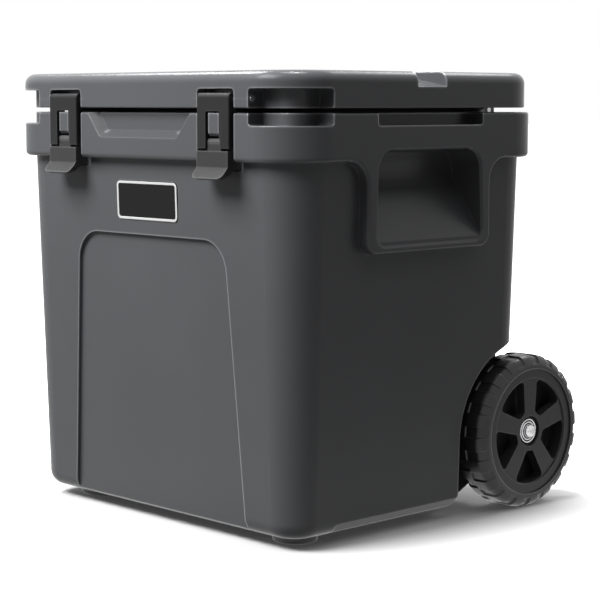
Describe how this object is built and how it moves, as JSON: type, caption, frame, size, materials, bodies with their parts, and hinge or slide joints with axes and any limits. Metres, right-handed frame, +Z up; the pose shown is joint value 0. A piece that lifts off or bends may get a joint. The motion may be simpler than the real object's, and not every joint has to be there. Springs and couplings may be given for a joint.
{
  "type": "wheeled cooler",
  "caption": "Tall insulated hard cooler with a hinged lid, lever latches, side hand pockets, rear wheels on an axle and a telescoping pull handle.",
  "frame": {"origin": "on the floor, under the middle of the whole footprint from latch tabs to wheels", "axes": "+Z up; -Y out of the front, where the latches are; +X to the viewer's right when facing the front"},
  "size_m": [0.5, 0.4984, 0.51],
  "materials": {
    "shell_plastic": "fine-grained moulded charcoal polyethylene",
    "foam": null,
    "steel": "bright zinc-plated or stainless steel",
    "aluminium": "satin anodised tube",
    "seal_rubber": "soft extruded seal",
    "tyre": "solid black rubber tread",
    "foot_rubber": "grey non-slip rubber",
    "badge": "bare black plate with a light border",
    "latch_plastic": "moulded charcoal nylon",
    "black_plastic": "moulded black nylon"
  },
  "bodies": {
    "body": {"body_shell": "shell_plastic", "body_insulation": "foam", "body_fill_plug": "shell_plastic", "badge_plate": "badge", "front_foot_left": "foot_rubber", "front_foot_right": "foot_rubber", "foot_screws": "steel", "axle": "steel", "axle_spacers": "steel", "axle_washers": "steel", "axle_nuts": "steel", "handle_outer_tube_left": "aluminium", "handle_outer_tube_right": "aluminium", "handle_lower_bracket": "black_plastic", "handle_upper_bracket": "black_plastic", "handle_screws": "steel", "hinge_pin_left": "steel", "hinge_pin_right": "steel"},
    "lid": {"lid_shell": "shell_plastic", "lid_insulation": "foam", "lid_fill_plug": "shell_plastic", "lid_gasket": "seal_rubber", "latch_pin_left": "steel", "latch_pin_right": "steel"},
    "handle_middle": {"handle_mid_tube_left": "aluminium", "handle_mid_tube_right": "aluminium"},
    "handle_top": {"handle_inner_tube_left": "aluminium", "handle_inner_tube_right": "aluminium", "handle_grip": "black_plastic"},
    "strap_left": {"latch_strap_left": "latch_plastic", "latch_lever_pin_left": "steel"},
    "lever_left": {"latch_lever_left": "latch_plastic"},
    "wheel_left": {"wheel_hub_left": "black_plastic", "wheel_tyre_left": "tyre", "wheel_bush_left": "black_plastic"},
    "strap_right": {"latch_strap_right": "latch_plastic", "latch_lever_pin_right": "steel"},
    "lever_right": {"latch_lever_right": "latch_plastic"},
    "wheel_right": {"wheel_hub_right": "black_plastic", "wheel_tyre_right": "tyre", "wheel_bush_right": "black_plastic"}
  },
  "joints": [
    {"name": "lid_hinge", "type": "hinge", "parent": "body", "child": "lid", "pos_m": [0, 0.17675, 0.468], "axis": [-1, 0, 0], "range_deg": [0, 100]},
    {"name": "latch_strap_left_hinge", "type": "hinge", "parent": "lid", "child": "strap_left", "pos_m": [-0.1316, -0.22825, 0.4805], "axis": [-1, 0, 0], "range_deg": [0, 85]},
    {"name": "latch_lever_left_hinge", "type": "hinge", "parent": "strap_left", "child": "lever_left", "pos_m": [-0.1316, -0.23225, 0.435], "axis": [-1, 0, 0], "range_deg": [0, 100]},
    {"name": "wheel_left_spin", "type": "hinge", "parent": "body", "child": "wheel_left", "pos_m": [-0.223, 0.15875, 0.0905], "axis": [1, 0, 0], "continuous": true},
    {"name": "latch_strap_right_hinge", "type": "hinge", "parent": "lid", "child": "strap_right", "pos_m": [0.1316, -0.22825, 0.4805], "axis": [-1, 0, 0], "range_deg": [0, 85]},
    {"name": "latch_lever_right_hinge", "type": "hinge", "parent": "strap_right", "child": "lever_right", "pos_m": [0.1316, -0.23225, 0.435], "axis": [-1, 0, 0], "range_deg": [0, 100]},
    {"name": "wheel_right_spin", "type": "hinge", "parent": "body", "child": "wheel_right", "pos_m": [0.223, 0.15875, 0.0905], "axis": [1, 0, 0], "continuous": true},
    {"name": "handle_middle_slide", "type": "slide", "parent": "body", "child": "handle_middle", "axis": [0, 0, -1], "range_m": [-0.24, 0]},
    {"name": "handle_top_slide", "type": "slide", "parent": "handle_middle", "child": "handle_top", "axis": [0, 0, -1], "range_m": [-0.24, 0]}
  ]
}
